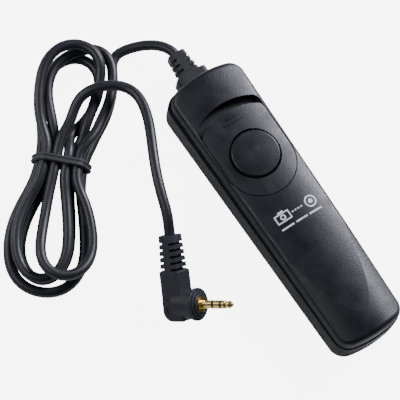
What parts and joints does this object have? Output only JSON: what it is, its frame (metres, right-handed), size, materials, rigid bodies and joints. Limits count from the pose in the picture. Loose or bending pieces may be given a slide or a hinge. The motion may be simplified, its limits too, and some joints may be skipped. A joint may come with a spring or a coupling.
{
  "type": "wired camera remote release",
  "caption": "Tapered hand-held shutter release with sliding lock plate and two-stage push button, tied coiled cable and right-angle jack plug.",
  "frame": {"origin": "centre of the hand piece's flat back", "axes": "+Z out of the button face, +Y towards the cable end, +X to the right seen from above"},
  "size_m": [0.0954, 0.1312, 0.0189],
  "materials": {
    "shell_black": "fine satin texture",
    "plate_black": "fine satin texture",
    "button_black": "fine satin texture",
    "boot_rubber": "matte",
    "cable_black": "soft sheen",
    "core_grey": "matte",
    "tie_grey": "matte",
    "plug_black": "matte",
    "contact_gold": "polished gold plate",
    "insulator_black": "matte",
    "leaf_bronze": "bright spring bronze",
    "screw_steel": "zinc plated",
    "carrier_plastic": "natural moulding",
    "wire_red": "matte",
    "wire_white": "matte",
    "wire_yellow": "matte"
  },
  "bodies": {
    "housing": {"bottom_shell": "shell_black", "top_shell": "shell_black", "cable_boot": "boot_rubber", "housing_screws": "screw_steel", "carrier_screws": "screw_steel", "contact_carrier": "carrier_plastic", "shutter_leaf": "leaf_bronze", "wire_common": "wire_red", "wire_focus": "wire_white", "wire_shutter": "wire_yellow", "cable_jacket": "cable_black", "cable_core": "core_grey", "cable_tie": "tie_grey", "plug_overmould": "plug_black", "plug_core": "carrier_plastic", "plug_sleeve": "contact_gold", "plug_ring": "contact_gold", "plug_tip": "contact_gold", "plug_front_insulator": "insulator_black", "plug_rear_insulator": "insulator_black", "plug_wires": "wire_white"},
    "lock_plate": {"slide_plate": "plate_black"},
    "button": {"shutter_button": "button_black"},
    "upper_contact": {"common_leaf": "leaf_bronze"},
    "middle_contact": {"focus_leaf": "leaf_bronze"}
  },
  "joints": [
    {"name": "lock_slide", "type": "slide", "parent": "housing", "child": "lock_plate", "axis": [0, 1, 0], "range_m": [0, 0.0022]},
    {"name": "button_press", "type": "slide", "parent": "lock_plate", "child": "button", "axis": [0, 0, -1], "range_m": [0, 0.0018], "stiffness_N_per_m": 400},
    {"name": "upper_leaf_bend", "type": "hinge", "parent": "housing", "child": "upper_contact", "pos_m": [0, -0.01625, 0.0099], "axis": [-1, 0, 0], "range_deg": [0, 3.08]},
    {"name": "middle_leaf_bend", "type": "hinge", "parent": "housing", "child": "middle_contact", "pos_m": [0, -0.01625, 0.0081], "axis": [-1, 0, 0], "range_deg": [0, 1.55]}
  ],
  "couplings": [
    {"joint": "upper_leaf_bend", "follows": "button_press", "rad_per_m": 29.718},
    {"joint": "middle_leaf_bend", "follows": "button_press", "rad_per_m": 14.859}
  ]
}
